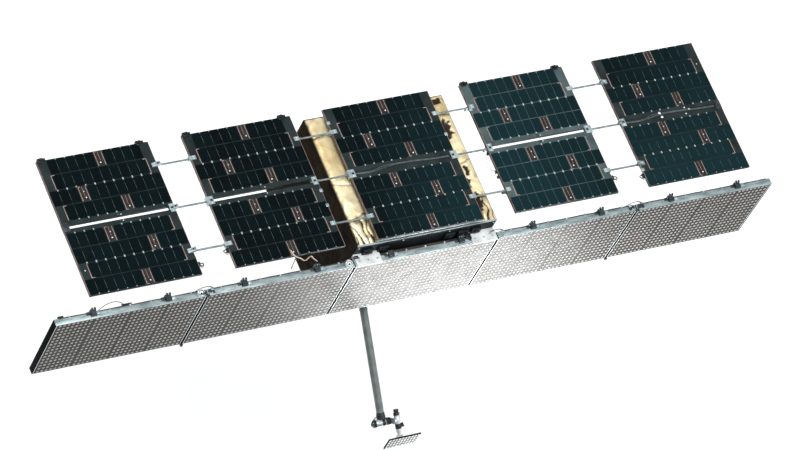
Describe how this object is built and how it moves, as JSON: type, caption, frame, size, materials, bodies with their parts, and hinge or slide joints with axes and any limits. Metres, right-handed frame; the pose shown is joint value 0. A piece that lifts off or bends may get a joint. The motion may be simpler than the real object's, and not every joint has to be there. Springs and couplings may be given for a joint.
{
  "type": "small radar satellite",
  "caption": "Small radar satellite with a folding flat antenna, folding solar columns and a steerable data antenna on a boom.",
  "frame": {"origin": "centre of the launch ring's mating plane", "axes": "+X along the antenna, +Y out of the launch ring, away from the antenna, +Z towards the side of the solar cells"},
  "size_m": [3.246, 1.1343, 0.9183],
  "materials": {
    "bus_structure": "dark anodised",
    "deck": "satin",
    "black_panel": "matt black",
    "ring_metal": "machined",
    "gold_foil": "crinkled gold film",
    "white_bracket": "matt white",
    "dark_fitting": "dark anodised",
    "antenna_face": "matt, with rows of pale dots",
    "solar_cell": "glossy dark cells",
    "silver_bracket": "satin",
    "grey_rod": "satin",
    "boom_grey": "satin grey",
    "motor_black": "black anodised",
    "arm_metal": "satin",
    "patch_face": "matt white"
  },
  "bodies": {
    "bus": {"bus_body": "bus_structure", "top_deck": "deck", "front_panel": "black_panel", "launch_ring": "ring_metal", "foil_left": "gold_foil", "foil_right": "gold_foil", "foil_back": "gold_foil", "foil_bottom": "gold_foil", "foil_top_left": "gold_foil", "foil_top_right": "gold_foil", "antenna_brackets": "white_bracket", "antenna_hinge_bases": "dark_fitting", "antenna_panel_3": "antenna_face", "panel_fittings_3": "dark_fitting", "solar_standoffs": "silver_bracket", "solar_panel_3": "solar_cell", "solar_brackets_3": "silver_bracket", "solar_rods_left_inner": "grey_rod", "solar_rods_right_inner": "grey_rod", "boom_bracket": "white_bracket"},
    "antenna_left_inner": {"antenna_panel_2": "antenna_face", "panel_fittings_2": "dark_fitting"},
    "antenna_left_outer": {"antenna_panel_1": "antenna_face", "panel_fittings_1": "dark_fitting"},
    "antenna_right_inner": {"antenna_panel_4": "antenna_face", "panel_fittings_4": "dark_fitting"},
    "antenna_right_outer": {"antenna_panel_5": "antenna_face", "panel_fittings_5": "dark_fitting"},
    "solar_left_inner": {"solar_panel_2": "solar_cell", "solar_brackets_2": "silver_bracket", "solar_rods_left_outer": "grey_rod"},
    "solar_left_outer": {"solar_panel_1": "solar_cell", "solar_brackets_1": "silver_bracket"},
    "solar_right_inner": {"solar_panel_4": "solar_cell", "solar_brackets_4": "silver_bracket", "solar_rods_right_outer": "grey_rod"},
    "solar_right_outer": {"solar_panel_5": "solar_cell", "solar_brackets_5": "silver_bracket"},
    "boom": {"boom_tube": "boom_grey", "gimbal_motor": "motor_black"},
    "gimbal": {"gimbal_arm": "arm_metal"},
    "data_antenna": {"patch_mount": "arm_metal", "patch_antenna": "patch_face"}
  },
  "joints": [
    {"name": "antenna_left_inner_fold", "type": "hinge", "parent": "bus", "child": "antenna_left_inner", "pos_m": [-0.325, -0.656, 0], "axis": [0, 0, -1], "range_deg": [0, 90]},
    {"name": "antenna_left_outer_fold", "type": "hinge", "parent": "antenna_left_inner", "child": "antenna_left_outer", "pos_m": [-0.975, -0.693, 0], "axis": [0, 0, 1], "range_deg": [0, 180]},
    {"name": "antenna_right_inner_fold", "type": "hinge", "parent": "bus", "child": "antenna_right_inner", "pos_m": [0.325, -0.656, 0], "axis": [0, 0, 1], "range_deg": [0, 90]},
    {"name": "antenna_right_outer_fold", "type": "hinge", "parent": "antenna_right_inner", "child": "antenna_right_outer", "pos_m": [0.975, -0.693, 0], "axis": [0, 0, -1], "range_deg": [0, 180]},
    {"name": "solar_left_inner_fold", "type": "hinge", "parent": "bus", "child": "solar_left_inner", "pos_m": [-0.3965, -0.337, 0.2795], "axis": [0, -1, 0], "range_deg": [0, 90]},
    {"name": "solar_left_outer_fold", "type": "hinge", "parent": "solar_left_inner", "child": "solar_left_outer", "pos_m": [-1.005, -0.337, 0.3105], "axis": [0, 1, 0], "range_deg": [0, 180]},
    {"name": "solar_right_inner_fold", "type": "hinge", "parent": "bus", "child": "solar_right_inner", "pos_m": [0.3965, -0.337, 0.2795], "axis": [0, 1, 0], "range_deg": [0, 90]},
    {"name": "solar_right_outer_fold", "type": "hinge", "parent": "solar_right_inner", "child": "solar_right_outer", "pos_m": [1.005, -0.337, 0.3105], "axis": [0, -1, 0], "range_deg": [0, 180]},
    {"name": "boom_fold", "type": "hinge", "parent": "bus", "child": "boom", "pos_m": [-0.1, -0.616, -0.2805], "axis": [1, 0, 0], "range_deg": [0, 130]},
    {"name": "gimbal_elevation", "type": "hinge", "parent": "boom", "child": "gimbal", "pos_m": [-0.1, -1.04682, -0.53427], "axis": [1, 0, 0], "range_deg": [-45, 45]},
    {"name": "gimbal_azimuth", "type": "hinge", "parent": "gimbal", "child": "data_antenna", "pos_m": [-0.0485, -1.06712, -0.4998], "axis": [0, -0.8616, -0.5075], "range_deg": [-90, 90]}
  ]
}
